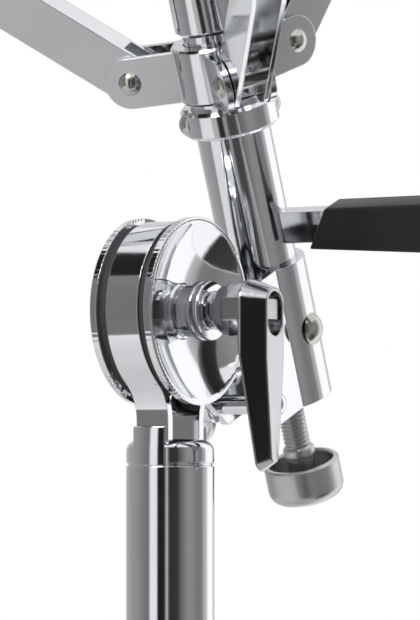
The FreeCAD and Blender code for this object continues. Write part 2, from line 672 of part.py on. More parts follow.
# clamp bolt through the yoke's cheeks and its wing nut
clamp_ball = as_size((3.9 * 3.9 + 2.7 * 2.7) / (2 * 2.7))
keep(turned("clamp_bolt", tilted * Placement(Vector(0, clamp_y.value, -clamp_z.value), along_x), [
    (0, -rim_face - 8), (clamp_r, -rim_face - 8), (clamp_r, rim_face), (3.9, rim_face, clamp_ball),
    (0, rim_face + 2.7)]))
nut = turned("clamp_wing_nut", tilted * Placement(Vector(-rim_face.value - 0.2, clamp_y.value, -clamp_z.value),
                                                 Rotation(Vector(0, 1, 0), -90)), [
    (clamp_r + run_gap, 0), (5.5, 0), (5.0, 8.4), (clamp_r + run_gap, 8.4)])
nut_wings = pad(nut, "nut_wings", "XZ_Plane", [
    (-13, 6), (-5, 0.8), (5, 0.8), (13, 6), (13.5, 12), (10, 13.5), (4.4, 7.2), (-4.4, 7.2), (-10, 13.5),
    (-13.5, 12)], as_size(2.6))
pocket(nut, "nut_bore", "XY_Plane", circles=[(0, 0, clamp_r + run_gap)])
keep(nut)

# basket tube and what is fixed to it
tube = turned("basket_tube", basket, [
    (tube_bore, -tube_low), (tube_r, -tube_low), (tube_r, tube_high), (tube_bore, tube_high)])
pocket(tube, "tube_rivet_holes", "YZ_Plane", circles=[(0, rivet_z, as_size(2.5))])
keep(tube)
yoke_rivets = []
for label, angle in (("yoke_rivet_near", 90), ("yoke_rivet_far", -90)):
    side = 1 if angle > 0 else -1
    yoke_rivets.append(stud(label, basket * Placement(Vector(side * wrap.value, 0, rivet_z.value),
                                                      Rotation(Vector(0, 1, 0), angle)),
                            as_size(2.5), yoke_sheet + tube_wall - 0.3, as_size(4.85), as_size(2.6)))
group("yoke_rivets", yoke_rivets)
keep(turned("screw_bush", basket, ring_corners(rod_dia / 2 + run_gap, tube_bore, -tube_low, -tube_low + 14)))
ring_r = tube_r + 3.2
keep(turned("ring_collar", basket, [
    (tube_r, collar_low), (ring_r - 1, collar_low), (ring_r, collar_low + 1), (ring_r, collar_high - 1),
    (ring_r - 1, collar_high), (tube_r, collar_high)]))
collar_rivets = []
for label, angle in (("collar_rivet_near", 228), ("collar_rivet_far", 48)):
    collar_rivets.append(turned(label, basket * turn(angle) * Placement(
        Vector(ring_r.value - 0.25, 0, ((collar_low + collar_high) / 2).value), Rotation(Vector(0, 1, 0), 90)),
        [(0, 0), (3.2, 0, as_size((3.2 * 3.2 + 1.8 * 1.8) / (2 * 1.8))), (0, 1.8)]))
ring_seats = nodes[-1]
for label, angle in (("seat_near", 228), ("seat_far", 48)):
    radians = math.radians(angle)
    seat_x = math.cos(radians)
    seat_y = math.sin(radians)
    pocket_sketch = new_sketch(ring_seats, label + "_sketch", "XY_Plane")
    inner_r = ring_r - 0.25
    outer_r = ring_r + 3
    side_x = -seat_y * 3.4
    side_y = seat_x * 3.4
    draw(pocket_sketch, [
        (inner_r * seat_x - side_x, inner_r * seat_y - side_y), (outer_r * seat_x - side_x, outer_r * seat_y - side_y),
        (outer_r * seat_x + side_x, outer_r * seat_y + side_y), (inner_r * seat_x + side_x, inner_r * seat_y + side_y)])
    seat = ring_seats.newObject("PartDesign::Pocket", label)
    seat.Profile = pocket_sketch
    seat.SideType = "Symmetric"
    seat.Type = "ThroughAll"
group("collar_rivets", [rivet_body for rivet_body in collar_rivets])
bar = new_body("grip_bar", basket)
bar_mid = bar_low + bar_height / 2
pad(bar, "bar_side", "XZ_Plane", [
    (tube_r - 3, bar_low), (bar_end, bar_low), (bar_end, bar_low + bar_height), (tube_r - 3, bar_low + bar_height)],
    bar_thick)
pocket(bar, "bar_cope", "XY_Plane", circles=[(0, 0, tube_r)])
keep(bar)
sleeve = new_body("grip_sleeve", basket)
pad(sleeve, "sleeve_side", "XZ_Plane", [
    (tube_r + grip_low, bar_low - 1.4), (bar_end - 4, bar_low - 6.5, as_size(8)), (bar_end + 4, bar_low + 0.5),
    (bar_end + 4, bar_low + bar_height - 4, as_size(6)), (bar_end - 2, bar_low + bar_height + 1.6),
    (tube_r + grip_high, bar_low + bar_height + 1.4)], bar_thick + 5)
pocket(sleeve, "sleeve_seat", "XZ_Plane", [
    (0, bar_low), (bar_end, bar_low), (bar_end, bar_low + bar_height), (0, bar_low + bar_height)], bar_thick)
keep(sleeve)

# strut hub with three pairs of ears
ear_gap = strut_width / 2 + side_gap
ear_sheet = as_size(2)
hub_r = tube_r + 2.4
basket_turns = (195, 315, 75)
pin_b = basket_pin / 2
head_b = basket_head / 2
hub = turned("strut_hub", basket * turn(195), [
    (tube_r, strut_z - 8.5), (hub_r - 0.8, strut_z - 8.5), (hub_r, strut_z - 7.7), (hub_r, strut_z + 7.7),
    (hub_r - 0.8, strut_z + 8.5), (tube_r, strut_z + 8.5)])
ear_half = as_size(7.6)
ear_line = [(hub_r - 3, strut_z - ear_half), (strut_radius, strut_z - ear_half, ear_half),
            (strut_radius + ear_half, strut_z, ear_half), (strut_radius, strut_z + ear_half),
            (hub_r - 3, strut_z + ear_half)]
ear_hole = [(strut_radius, strut_z, pin_b)]
ear_a = pad(hub, "ear_left", "XZ_Plane", ear_line, ear_sheet, offset=ear_gap, holes=ear_hole)
ear_b = pad(hub, "ear_right", "XZ_Plane", ear_line, ear_sheet, offset=-(ear_gap + ear_sheet), holes=ear_hole)
around(hub, "ears", [ear_a, ear_b], 3)
pocket(hub, "hub_bore", "XY_Plane", circles=[(0, 0, tube_r)])
keep(hub)
strut_pins = []
arm_pins = []
for number, angle in enumerate(basket_turns):
    across = Rotation(Vector(1, 0, 0), -90)
    strut_pins.append(rivet("strut_pin_%d" % (number + 1),
                            basket * turn(angle) * Placement(Vector(strut_radius.value, 0, strut_z.value), across),
                            pin_b, 2 * (ear_gap + ear_sheet), head_b, as_size(1.9)))
    arm_pins.append(rivet("arm_pin_%d" % (number + 1),
                          basket * turn(angle) * Placement(Vector(arm_radius.value, 0, arm_z.value), across),
                          pin_b, arm_width + 0.4, head_b, as_size(1.9)))
group("strut_pins", strut_pins)
group("arm_pins", arm_pins)

# struts: channels with the web above, cut back at the tip where the arm's web passes
strut_half = strut_depth / 2
loose = as_size(0.75)
arm_top = as_size(8.5)
for number, angle in enumerate(basket_turns):
    tag = "_%d" % (number + 1)
    climb = basket * turn(angle) * Placement(Vector(strut_radius.value, 0, strut_z.value),
                                             Rotation(Vector(0, 1, 0), -strut_angle.value))
    strut = new_body("strut" + tag, climb)
    tip = as_size(4.6)
    pad(strut, "strut_side" + tag, "XZ_Plane", [
        (0, -strut_half), (strut_length - 20, -strut_half), (strut_length, -tip, tip), (strut_length + tip, 0, tip),
        (strut_length, tip), (strut_length - 20, strut_half), (0, strut_half, strut_half),
        (-strut_half, 0, strut_half)], strut_width)
    pocket(strut, "strut_hollow" + tag, "XZ_Plane", [
        (-strut_half - 1, -strut_half - 1), (strut_length + 8, -strut_half - 1), (strut_length + 8, strut_half + 1),
        (strut_length - 20, strut_half + 1), (strut_length - 20, strut_half - basket_sheet), (7, strut_half - basket_sheet),
        (7, strut_half + 1), (-strut_half - 1, strut_half + 1)],
        strut_width - 2 * basket_sheet)
    pocket(strut, "strut_hole" + tag, "XZ_Plane", circles=[(0, 0, pin_b + run_gap)])
    pad(strut, "strut_tie" + tag, "XZ_Plane", None, arm_width + 1.0, circles=[(strut_length, 0, pin_b)])
    for label, offset in (("tie_near" + tag, arm_width / 2 + side_gap), ("tie_far" + tag, -(arm_width / 2 + side_gap + 1.5))):
        pad(strut, label, "XZ_Plane", None, as_size(1.5), offset=offset, circles=[(strut_length, 0, head_b + 0.6)])
    keep(strut)

# arms with upturned claws, and their rubber jackets
claw_wall = as_size(8)
claw_top = arm_top + claw_height
claw_out = arm_reach + claw_wall
arm_low = as_size(-5.5)
outer_low = arm_top - claw_wall
for number, angle in enumerate(basket_turns):
    tag = "_%d" % (number + 1)
    rise = basket * turn(angle) * Placement(Vector(arm_radius.value, 0, arm_z.value),
                                            Rotation(Vector(0, 1, 0), -arm_angle.value))
    arm = new_body("arm" + tag, rise)
    in_bend = as_size(8)
    out_bend = in_bend + claw_wall
    pad(arm, "arm_side" + tag, "XZ_Plane", [
        (-2, arm_low), (arm_inner + 8, arm_low), (arm_inner + 24, outer_low), (arm_reach - in_bend, outer_low, out_bend),
        (claw_out, arm_top + in_bend), (claw_out, claw_top), (arm_reach, claw_top), (arm_reach, arm_top + in_bend, -in_bend),
        (arm_reach - in_bend, arm_top), (-2, arm_top), (-5, arm_top - 3), (-5, arm_low + 3)], arm_width)
    pocket(arm, "arm_hollow" + tag, "XZ_Plane", [
        (-6, arm_low - 1), (arm_inner + 24, arm_low - 1), (arm_reach - 30, outer_low - 1),
        (arm_reach - 30, arm_top - basket_sheet), (-6, arm_top - basket_sheet)], arm_width - 2 * basket_sheet)
    pocket(arm, "arm_holes" + tag, "XZ_Plane", circles=[(0, 0, pin_b + run_gap), (arm_inner, 0, pin_b + loose)])
    keep(arm)
    rubber = new_body("arm_jacket" + tag, rise)
    start = arm_inner + 38
    pad(rubber, "jacket_side" + tag, "XZ_Plane", [
        (start, outer_low - jacket), (arm_reach - in_bend, outer_low - jacket, out_bend + jacket),
        (claw_out + jacket, arm_top + in_bend), (claw_out + jacket, claw_top), (claw_out - 1, claw_top + jacket + 1),
        (arm_reach + 1, claw_top + jacket + 1), (arm_reach - jacket, claw_top),
        (arm_reach - jacket, arm_top + in_bend, -(in_bend - jacket)), (arm_reach - in_bend, arm_top + jacket),
        (start, arm_top + jacket)], arm_width + 2 * jacket)
    pocket(rubber, "jacket_seat" + tag, "XZ_Plane", [
        (start - 1, outer_low), (arm_reach - in_bend, outer_low, out_bend), (claw_out, arm_top + in_bend),
        (claw_out, claw_top), (arm_reach, claw_top), (arm_reach, arm_top + in_bend, -in_bend),
        (arm_reach - in_bend, arm_top), (start - 1, arm_top)], arm_width)
    keep(rubber)

# arm hub on the sleeve that the adjuster pulls down
sleeve_r = tube_r - 0.1
cap_r = as_size(13.2)
stem_r = sleeve_r - tube_wall
sleeve_low = tube_high + 3
cap_top = arm_z + 8
keep(turned("top_sleeve", basket, [
    (stem_r, sleeve_low), (sleeve_r - 1.2, sleeve_low), (sleeve_r, sleeve_low + 1.2), (sleeve_r, cap_top),
    (stem_r, cap_top)]))
rod_r = rod_dia / 2
arm_hub = turned("arm_hub", basket * turn(195), [
    (rod_r + run_gap, sleeve_low + 2), (stem_r, sleeve_low + 2), (stem_r, cap_top), (sleeve_r, cap_top),
    (sleeve_r, arm_z - 8), (cap_r, arm_z - 8), (cap_r, cap_top), (cap_r - 1.5, cap_top + 3), (0, cap_top + 3),
    (0, arm_z - 3), (rod_r + run_gap, arm_z - 3)])
arm_lug_half = as_size(4.6)
arm_lug = pad(arm_hub, "arm_lug", "XZ_Plane", [
    (cap_r - 1.5, arm_z - arm_lug_half), (arm_radius, arm_z - arm_lug_half, arm_lug_half),
    (arm_radius + arm_lug_half, arm_z, arm_lug_half), (arm_radius, arm_z + arm_lug_half),
    (cap_r - 1.5, arm_z + arm_lug_half)], arm_width - 2 * basket_sheet - 2 * side_gap,
    holes=[(arm_radius, arm_z, pin_b)])
around(arm_hub, "arm_lugs", arm_lug, 3)
keep(arm_hub)

# adjuster: threaded rod with its bead, and the cup knob
bead_r = as_size(4.85)
stem = as_size(4)
keep(turned("adjuster_rod", basket, [
    (0, -knob_rim - knob_deep + 3), (stem, -knob_rim - knob_deep + 3), (stem, -bead_z - 4.2),
    (bead_r - 0.8, -bead_z - 4.2), (bead_r, -bead_z - 3.2), (bead_r, -bead_z - 1), (bead_r - 0.8, -bead_z),
    (rod_r, -bead_z), (rod_r, arm_z - 3.3), (0, arm_z - 3.3)]))
knob_r = knob_dia / 2
knob_foot = -knob_rim - knob_deep
keep(turned("adjuster_knob", basket, [
    (0, knob_foot), (knob_r - 4, knob_foot, as_size(4)), (knob_r, knob_foot + 4), (knob_r, -knob_rim - 0.6),
    (knob_r - 0.6, -knob_rim), (knob_r - 1.4, -knob_rim), (knob_r - 1.8, -knob_rim - 0.6),
    (knob_r - 1.8, knob_foot + 5.5), (knob_r - 3.5, knob_foot + 4), (stem, knob_foot + 4), (stem, knob_foot + 3),
    (0, knob_foot + 3)]))

doc.recompute()
for thing in doc.Objects:
    if "Invalid" in thing.State or "Error" in thing.State:
        raise RuntimeError("%s did not build: %s" % (thing.Label, thing.State))
for node in nodes:
    if node.Shape.isNull() or not node.Shape.isValid():
        raise RuntimeError("%s has no valid shape" % node.Label)

os.makedirs("parts", exist_ok=True)
for node in nodes:
    node.Shape.exportStep("parts/%s.step" % node.Label)
print("nodes", len(nodes))
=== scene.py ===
import bpy
import bmesh
import json
import math
from mathutils import Matrix, Vector


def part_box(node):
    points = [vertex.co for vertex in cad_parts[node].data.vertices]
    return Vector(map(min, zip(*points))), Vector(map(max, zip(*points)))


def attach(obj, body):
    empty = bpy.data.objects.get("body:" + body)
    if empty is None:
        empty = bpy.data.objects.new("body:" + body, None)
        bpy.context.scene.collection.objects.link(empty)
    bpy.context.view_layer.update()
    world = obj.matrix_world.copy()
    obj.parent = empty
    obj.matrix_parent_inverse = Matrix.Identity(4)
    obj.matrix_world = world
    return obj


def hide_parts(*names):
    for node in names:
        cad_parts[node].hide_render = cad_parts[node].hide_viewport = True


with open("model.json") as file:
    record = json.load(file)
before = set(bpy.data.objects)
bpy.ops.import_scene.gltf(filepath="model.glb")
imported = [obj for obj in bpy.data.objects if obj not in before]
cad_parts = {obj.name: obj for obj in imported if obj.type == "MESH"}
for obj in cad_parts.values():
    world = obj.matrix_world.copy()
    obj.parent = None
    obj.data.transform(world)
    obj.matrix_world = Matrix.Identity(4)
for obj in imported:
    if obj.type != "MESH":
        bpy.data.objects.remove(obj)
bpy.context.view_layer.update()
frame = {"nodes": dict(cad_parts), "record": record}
scene = bpy.context.scene
nodes = frame["nodes"]
joints = {joint["name"]: joint for joint in frame["record"]["behaviour"]["joints"]}
slotOf = {part["node"]: part["material_slot"] for part in frame["record"]["subparts"]}
mm = 0.001
fullTurn = 2 * math.pi
origin = (0, 0, 0)
upward = Vector((0, 0, 1))
inPlace = Matrix.Identity(4)
black = (0, 0, 0, 1)
white = (1, 1, 1, 1)


def jointSpot(name):
    return Vector(joints[name]["pos_m"])


def aim(axis):
    # the turn that takes the z axis to this one
    return upward.rotation_difference(axis).to_matrix().to_4x4()


# tubeFoot is the point of the basket tube's axis that is nearest the axle
axle = jointSpot("tilt")
tubeFoot = jointSpot("knob_turn")
tubeAxis = Vector(joints["knob_turn"]["axis"]).normalized()
basketPlace = Matrix.Translation(tubeFoot) @ aim(tubeAxis)
axlePlace = Matrix.Translation((0, axle.y, axle.z)) @ aim(Vector((1, 0, 0)))
print("frame loaded:", len(nodes), "nodes")


class Sock:
    # a node socket that can be used in plain arithmetic
    def __init__(self, paint, socket):
        self.paint = paint
        self.socket = socket

    def __add__(self, other):
        return self.paint.math("ADD", self, other)

    def __mul__(self, other):
        return self.paint.math("MULTIPLY", self, other)

    def __gt__(self, other):
        return self.paint.math("GREATER_THAN", self, other)

    def __lt__(self, other):
        return self.paint.math("LESS_THAN", self, other)


# the mix node's colour sockets, by number because its other kinds share their names
mixColour = {"first": 6, "second": 7, "result": 2}


class Paint:
    # one material, built node by node
    def __init__(self, name):
        self.material = bpy.data.materials.new(name)
        self.material.use_nodes = True
        self.tree = self.material.node_tree
        self.shader = self.tree.nodes["Principled BSDF"]
        self.place = self.node("ShaderNodeTexCoord", {}, {}, "Object")

    def node(self, kind, settings, sockets, output=0):
        made = self.tree.nodes.new(kind)
        for key, value in settings.items():
            if key == "stops":
                self.stops(made.color_ramp.elements, value)
            else:
                setattr(made, key, value)
        pairs = enumerate(sockets) if isinstance(sockets, list) else sockets.items()
        for key, value in pairs:
            self.feed(made.inputs[key], value)
        return Sock(self, made.outputs[output])

    def stops(self, ramp, stops):
        for number, (spot, colour) in enumerate(stops):
            element = ramp[number] if number < len(ramp) else ramp.new(spot)
            element.position = spot
            element.color = colour

    def feed(self, target, value):
        if isinstance(value, Sock):
            self.tree.links.new(value.socket, target)
        else:
            target.default_value = value

    def set(self, **values):
        for key, value in values.items():
            self.feed(self.shader.inputs[key.replace("_", " ")], value)
        return self

    def math(self, operation, *values):
        return self.node("ShaderNodeMath", {"operation": operation}, list(values))

    def vector(self, operation, values, output="Vector"):
        return self.node("ShaderNodeVectorMath", {"operation": operation}, values, output)

    def split(self, spot):
        parts = self.node("ShaderNodeSeparateXYZ", {}, [spot]).socket.node
        return [Sock(self, output) for output in parts.outputs]

    def noise(self, scale, detail=3.0, rough=0.55, place=None):
        sockets = {"Vector": place or self.place, "Scale": scale, "Detail": detail, "Roughness": rough}
        return self.node("ShaderNodeTexNoise", {}, sockets, "Fac")

    def between(self, fac, low, high):
        return self.node("ShaderNodeMapRange", {}, {"Value": fac, "To Min": low, "To Max": high}, "Result")

    def blend(self, fac, first, second):
        sockets = {"Factor": fac, mixColour["first"]: first, mixColour["second"]: second}
        return self.node("ShaderNodeMix", {"data_type": "RGBA"}, sockets, mixColour["result"])

    def bump(self, height, strength, distance, under=None):
        sockets = {"Height": height, "Strength": strength, "Distance": distance}
        if under is not None:
            sockets["Normal"] = under
        return self.node("ShaderNodeBump", {}, sockets, "Normal")

    def softEdge(self, radius):
        return self.node("ShaderNodeBevel", {"samples": 4}, {"Radius": radius}, "Normal")


# noises are given as scale, detail and roughness, dents as strength and depth
chromeLook = {"colour": (0.80, 0.81, 0.83, 1), "deep": (0.70, 0.71, 0.735, 1), "rough": (0.045, 0.10),
              "smudged": 0.08, "cloud": (38.0, 4.0), "smudge": (190.0, 6.0, 0.7), "edge": 0.45 * mm,
              "ripple": (220.0, 2.0), "rippleDepth": 0.4 * mm}
castLook = {"rough": (0.10, 0.18), "wave": 0.25, "edge": 0.7 * mm}
leverLook = {"rough": (0.06, 0.12), "wave": 0.08, "edge": 0.8 * mm, "dim": 0.7}


def dimmed(colour, dim):
    return tuple(part * dim for part in colour[:3]) + (1,)


def chromePaint(name, rough=chromeLook["rough"], wave=0.0, edge=chromeLook["edge"], dim=1.0):
    paint = Paint(name)
    cloud = paint.noise(*chromeLook["cloud"])
    smudge = paint.noise(*chromeLook["smudge"])
    normal = paint.softEdge(edge)
    if wave:
        normal = paint.bump(paint.noise(*chromeLook["ripple"]), wave, chromeLook["rippleDepth"], normal)
    bright, deep = [dimmed(chromeLook[tone], dim) for tone in ("colour", "deep")]
    return paint.set(Base_Color=paint.blend(cloud, bright, deep), Metallic=1.0, Normal=normal,
                     Roughness=paint.between(smudge * cloud, rough[0], rough[1] + chromeLook["smudged"]))


# the yoke is plated like the rest, with fine ticks pressed round both disc rims
rimTicks = {"count": 110, "inner": 25.9 * mm, "outer": 27.2 * mm, "face": 7.6 * mm,
            "dents": (0.3, 0.05 * mm)}


def rimPaint():
    paint = Paint("yokeChrome")
    x, y, z = paint.split(paint.vector("SUBTRACT", [paint.place, axle]))
    wave = paint.math("SINE", paint.math("ARCTAN2", z, y) * rimTicks["count"])
    reach = paint.math("SQRT", y * y + z * z)
    side = paint.math("ABSOLUTE", x)
    mask = (reach > rimTicks["inner"]) * (reach < rimTicks["outer"]) * (side > rimTicks["face"])
    cloud = paint.noise(*chromeLook["cloud"])
    smudge = paint.noise(*chromeLook["smudge"])
    normal = paint.bump(wave * mask, *rimTicks["dents"], paint.softEdge(chromeLook["edge"]))
    return paint.set(Base_Color=paint.blend(cloud, chromeLook["colour"], chromeLook["deep"]), Metallic=1.0,
                     Roughness=paint.between(smudge, *chromeLook["rough"]), Normal=normal)


rubberLook = {"colour": (0.010, 0.010, 0.011, 1), "worn": (0.022, 0.022, 0.023, 1), "rough": (0.34, 0.5),
              "gloss": 0.32, "grain": (900.0, 3.0, 0.6), "cloud": (60.0, 5.0), "dents": (0.35, 0.12 * mm),
              "edge": 0.8 * mm}


def rubberPaint():
    paint = Paint("moldedRubber")
    grain = paint.noise(*rubberLook["grain"])
    cloud = paint.noise(*rubberLook["cloud"])
    return paint.set(Base_Color=paint.blend(cloud, rubberLook["colour"], rubberLook["worn"]),
                     Roughness=paint.between(cloud, *rubberLook["rough"]),
                     Specular_IOR_Level=rubberLook["gloss"],
                     Normal=paint.bump(grain, *rubberLook["dents"], paint.softEdge(rubberLook["edge"])))


# turned steel: fine rings across the adjuster's axis
satinLook = {"colour": (0.60, 0.60, 0.61, 1), "worn": (0.47, 0.47, 0.48, 1), "rough": (0.22, 0.40),
             "stretch": (40.0, 40.0, 5200.0), "rings": (1.0, 2.0, 0.5), "cloud": (120.0, 4.0),
             "dents": (0.10, 0.05 * mm), "edge": 0.4 * mm}


def satinPaint():
    paint = Paint("satinSteel")
    lean = math.atan2(tubeAxis.y, tubeAxis.z)
    turned = paint.node("ShaderNodeMapping", {}, {"Vector": paint.place, "Scale": satinLook["stretch"],
                                                  "Rotation": (lean, 0, 0)})
    rings = paint.noise(*satinLook["rings"], turned)
    cloud = paint.noise(*satinLook["cloud"])
    return paint.set(Base_Color=paint.blend(cloud, satinLook["colour"], satinLook["worn"]), Metallic=1.0,
                     Roughness=paint.between(rings, *satinLook["rough"]),
                     Normal=paint.bump(rings, *satinLook["dents"], paint.softEdge(satinLook["edge"])))


# paints whose tone, roughness and dents all follow one noise
cloudLooks = {
    "nickel": {"name": "nickelRivet", "cloud": (160.0, 5.0, 0.65), "metal": 1.0, "rough": (0.14, 0.30),
               "colour": (0.64, 0.62, 0.58, 1), "worn": (0.46, 0.44, 0.41, 1), "dents": (0.12, 0.2 * mm)},
    "nylon": {"name": "blackNylon", "cloud": (140.0, 4.0), "metal": 0.0, "rough": (0.35, 0.5),
              "colour": (0.025, 0.025, 0.026, 1), "worn": (0.05, 0.05, 0.052, 1), "dents": (0.15, 0.1 * mm),
              "edge": 0.4 * mm},
    "lining": {"name": "fibreLining", "cloud": (1500.0, 2.0, 0.8), "metal": 0.0, "rough": (0.55, 0.8),
               "colour": (0.014, 0.014, 0.016, 1), "worn": (0.05, 0.05, 0.053, 1),
               "dents": (0.4, 0.1 * mm)}}


def cloudPaint(look):
    paint = Paint(look["name"])
    cloud = paint.noise(*look["cloud"])
    under = paint.softEdge(look["edge"]) if "edge" in look else None
    return paint.set(Base_Color=paint.blend(cloud, look["colour"], look["worn"]), Metallic=look["metal"],
                     Roughness=paint.between(cloud, *look["rough"]),
                     Normal=paint.bump(cloud, *look["dents"], under))


paints = {"chrome": chromePaint("polishedChrome"), "cast": chromePaint("platedCasting", **castLook),
          "satin": satinPaint(), "rubber": rubberPaint()}
for slot, look in cloudLooks.items():
    paints[slot] = cloudPaint(look)
ownPaints = {"tilter_yoke": rimPaint(), "lever_key_screw": paints["satin"],
             "wing_lever": chromePaint("leverCasting", **leverLook)}
for name, node in nodes.items():
    paint = ownPaints.get(name, paints[slotOf[name]])
    node.data.materials.clear()
    node.data.materials.append(paint.material)
print("materials on", len(nodes), "nodes")


def meshObject(name, mesh, paint):
    data = bpy.data.meshes.new(name)
    mesh.to_mesh(data)
    mesh.free()
    data.materials.append(paint.material)
    made = bpy.data.objects.new(name, data)
    scene.collection.objects.link(made)
    return made


def newPiece(name, mesh, place, body, slot, paint=None):
    bmesh.ops.transform(mesh, matrix=place, verts=mesh.verts)
    bmesh.ops.recalc_face_normals(mesh, faces=mesh.faces)
    piece = meshObject(name, mesh, paint or paints[slot])
    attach(piece, body)
    return piece


def smooth(piece, degrees):
    piece.data.shade_smooth()
    for edge in piece.data.edges:
        edge.use_edge_sharp = False
    piece.data.set_sharp_from_angle(angle=math.radians(degrees))
    return piece


def weld(mesh, reach=1e-6):
    bmesh.ops.remove_doubles(mesh, verts=mesh.verts, dist=reach)


def closeHoles(mesh):
    bmesh.ops.holes_fill(mesh, edges=[edge for edge in mesh.edges if edge.is_boundary], sides=0)


def cadCopy(node, place=inPlace):
    # the CAD solid's mesh, moved and welded
    mesh = bmesh.new()
    mesh.from_mesh(nodes[node].data)
    bmesh.ops.transform(mesh, matrix=place, verts=mesh.verts)
    weld(mesh)
    return mesh


def cutMesh(mesh, spot, direction, inner):
    # cuts at a plane and drops what lies behind it (inner) or in front of it
    bmesh.ops.bisect_plane(mesh, geom=mesh.verts[:] + mesh.edges[:] + mesh.faces[:], plane_co=spot,
                           plane_no=direction, clear_inner=inner, clear_outer=not inner)


def roundEdges(mesh, edges, width, segments):
    bmesh.ops.bevel(mesh, geom=edges, offset=width, offset_type="OFFSET", affect="EDGES", segments=segments,
                    profile=0.5, material=-1, clamp_overlap=True)


def grownVerts(grown):
    return [item for item in grown["geom"] if isinstance(item, bmesh.types.BMVert)]


def line(mesh, corners):
    # a profile in the xz plane, joined end to end
    verts = [mesh.verts.new((x, 0, z)) for x, z in corners]
    return verts, [mesh.edges.new(pair) for pair in zip(verts, verts[1:])]


def spinAll(mesh, corners, steps=64):
    verts, edges = line(mesh, corners)
    bmesh.ops.spin(mesh, geom=verts + edges, axis=upward, cent=origin, angle=fullTurn, steps=steps,
                   use_merge=True)
    weld(mesh)


def roundedTop(reach, rise, soft, inset=0.3):
    # a profile's rounded outer corner, from its side to its top
    return [(reach, rise - soft), (reach - inset * soft, rise - inset * soft), (reach - soft, rise)]


def roundedFoot(reach, rise, soft, inset=0.3):
    # the same at a lower corner, from its foot to its side
    return [(reach - soft, rise), (reach - inset * soft, rise + inset * soft), (reach, rise + soft)]


# the adjuster rod with its rolled thread, bead and stem, in place of the plain CAD rod: heights along
# the basket tube, the tooth in shares of the pitch, the bead's side in mm inwards and down
rod = {"root": 3.42 * mm, "crest": 3.98 * mm, "core": 3.32 * mm, "pitch": 1.25 * mm, "threadTop": -24 * mm,
       "tooth": [("root", 0), ("root", 0.12), ("crest", 0.46), ("crest", 0.62), ("root", 1)],
       "bead": 4.85 * mm, "beadTop": -62 * mm, "stem": 4 * mm, "stemFoot": -76 * mm, "armGap": 3.3 * mm,
       "beadSide": [(0.9, 4.2), (0.2, 3.5), (0, 2.1), (0.2, 0.7), (0.9, 0)],
       "steps": 24, "weld": 2e-6, "round": 48, "shade": 28}


def adjusterRod():
    pitch = rod["pitch"]
    steps = rod["steps"]
    beadTop = rod["beadTop"]
    threadTop = rod["threadTop"]
    top = tubeAxis.dot(jointSpot("arm_swing_1") - tubeFoot) - rod["armGap"]
    turns = math.ceil((threadTop - beadTop) / pitch) + 1
    low = beadTop - pitch
    mesh = bmesh.new()
    verts, edges = line(mesh, [(rod[reach], low + share * pitch) for reach, share in rod["tooth"]])
    bmesh.ops.spin(mesh, geom=verts + edges, axis=upward, cent=origin, angle=fullTurn * turns,
                   dvec=(0, 0, pitch / steps), steps=turns * steps, use_merge=False)
    weld(mesh, rod["weld"])
    closeHoles(mesh)
    bead = [(rod["bead"] - inset * mm, beadTop - drop * mm) for inset, drop in rod["beadSide"]]
    spinAll(mesh, [(0, rod["stemFoot"]), (rod["stem"], rod["stemFoot"]), (rod["stem"], bead[0][1]), *bead,
                   (rod["core"], beadTop), (rod["core"], threadTop), (rod["crest"], threadTop + pitch),
                   (rod["crest"], top), (0, top)], rod["round"])
    piece = newPiece("adjusterThread", mesh, basketPlace, "adjuster", "satin")
    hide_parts("adjuster_rod")
    return smooth(piece, rod["shade"])


adjusterRod()
print("thread cut")

# spacer and two fat washers on the axle, in place of the plain washers
stack = {"bore": 4.1 * mm, "neck": 6.0 * mm, "neckLong": 1.0 * mm, "spacer": 7.5 * mm,
         "spacerEnd": 4.6 * mm, "edge": 0.5 * mm, "rim": 8.6 * mm, "waist": 6.6 * mm, "washer": 2.2 * mm,
         "washers": 2, "gap": 0.25 * mm, "round": 0.7 * mm, "shade": 30}


def axleStack():
    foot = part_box("spring_washers")[0][0]
    neck = stack["neck"]
    spacer = stack["spacer"]
    shoulder = foot + stack["neckLong"]
    high = foot + stack["spacerEnd"]
    corners = [(stack["bore"], foot), (neck, foot), (neck, shoulder), (spacer - stack["edge"], shoulder),
               (spacer, shoulder + stack["edge"]), (spacer, high)]
    for number in range(stack["washers"]):
        low = high + stack["gap"]
        corners += [(stack["waist"], high), (stack["waist"], low)]
        high = low + stack["washer"]
        corners += roundedFoot(stack["rim"], low, stack["round"])
        corners += roundedTop(stack["rim"], high, stack["round"])
    corners += [(stack["bore"], high), (stack["bore"], foot)]
    mesh = bmesh.new()
    spinAll(mesh, corners)
    piece = newPiece("axleStack", mesh, axlePlace, "tilter", "chrome")
    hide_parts("spring_washers")
    return smooth(piece, stack["shade"])


axleStack()
print("axle stack turned")

# the wing lever: the CAD wing, with its hub turned to a neck, a round collar and eight flats
lever = {"cut": 26.95 * mm, "bore": 4.1 * mm, "foot": 15.0 * mm, "neck": 5.6 * mm, "neckEdge": 0.3 * mm,
         "neckEnd": 17.7 * mm, "collar": 7.1 * mm, "collarRound": 1.2 * mm, "collarInset": 1 / 3,
         "collarEnd": 21.6 * mm, "sides": 8, "flats": 8.12 * mm, "flatsBore": 4.5 * mm,
         "flatsFrom": 21.3 * mm, "flatsTo": 27.2 * mm, "soft": 0.4 * mm, "softSegments": 2, "round": 48,
         "shade": 14}


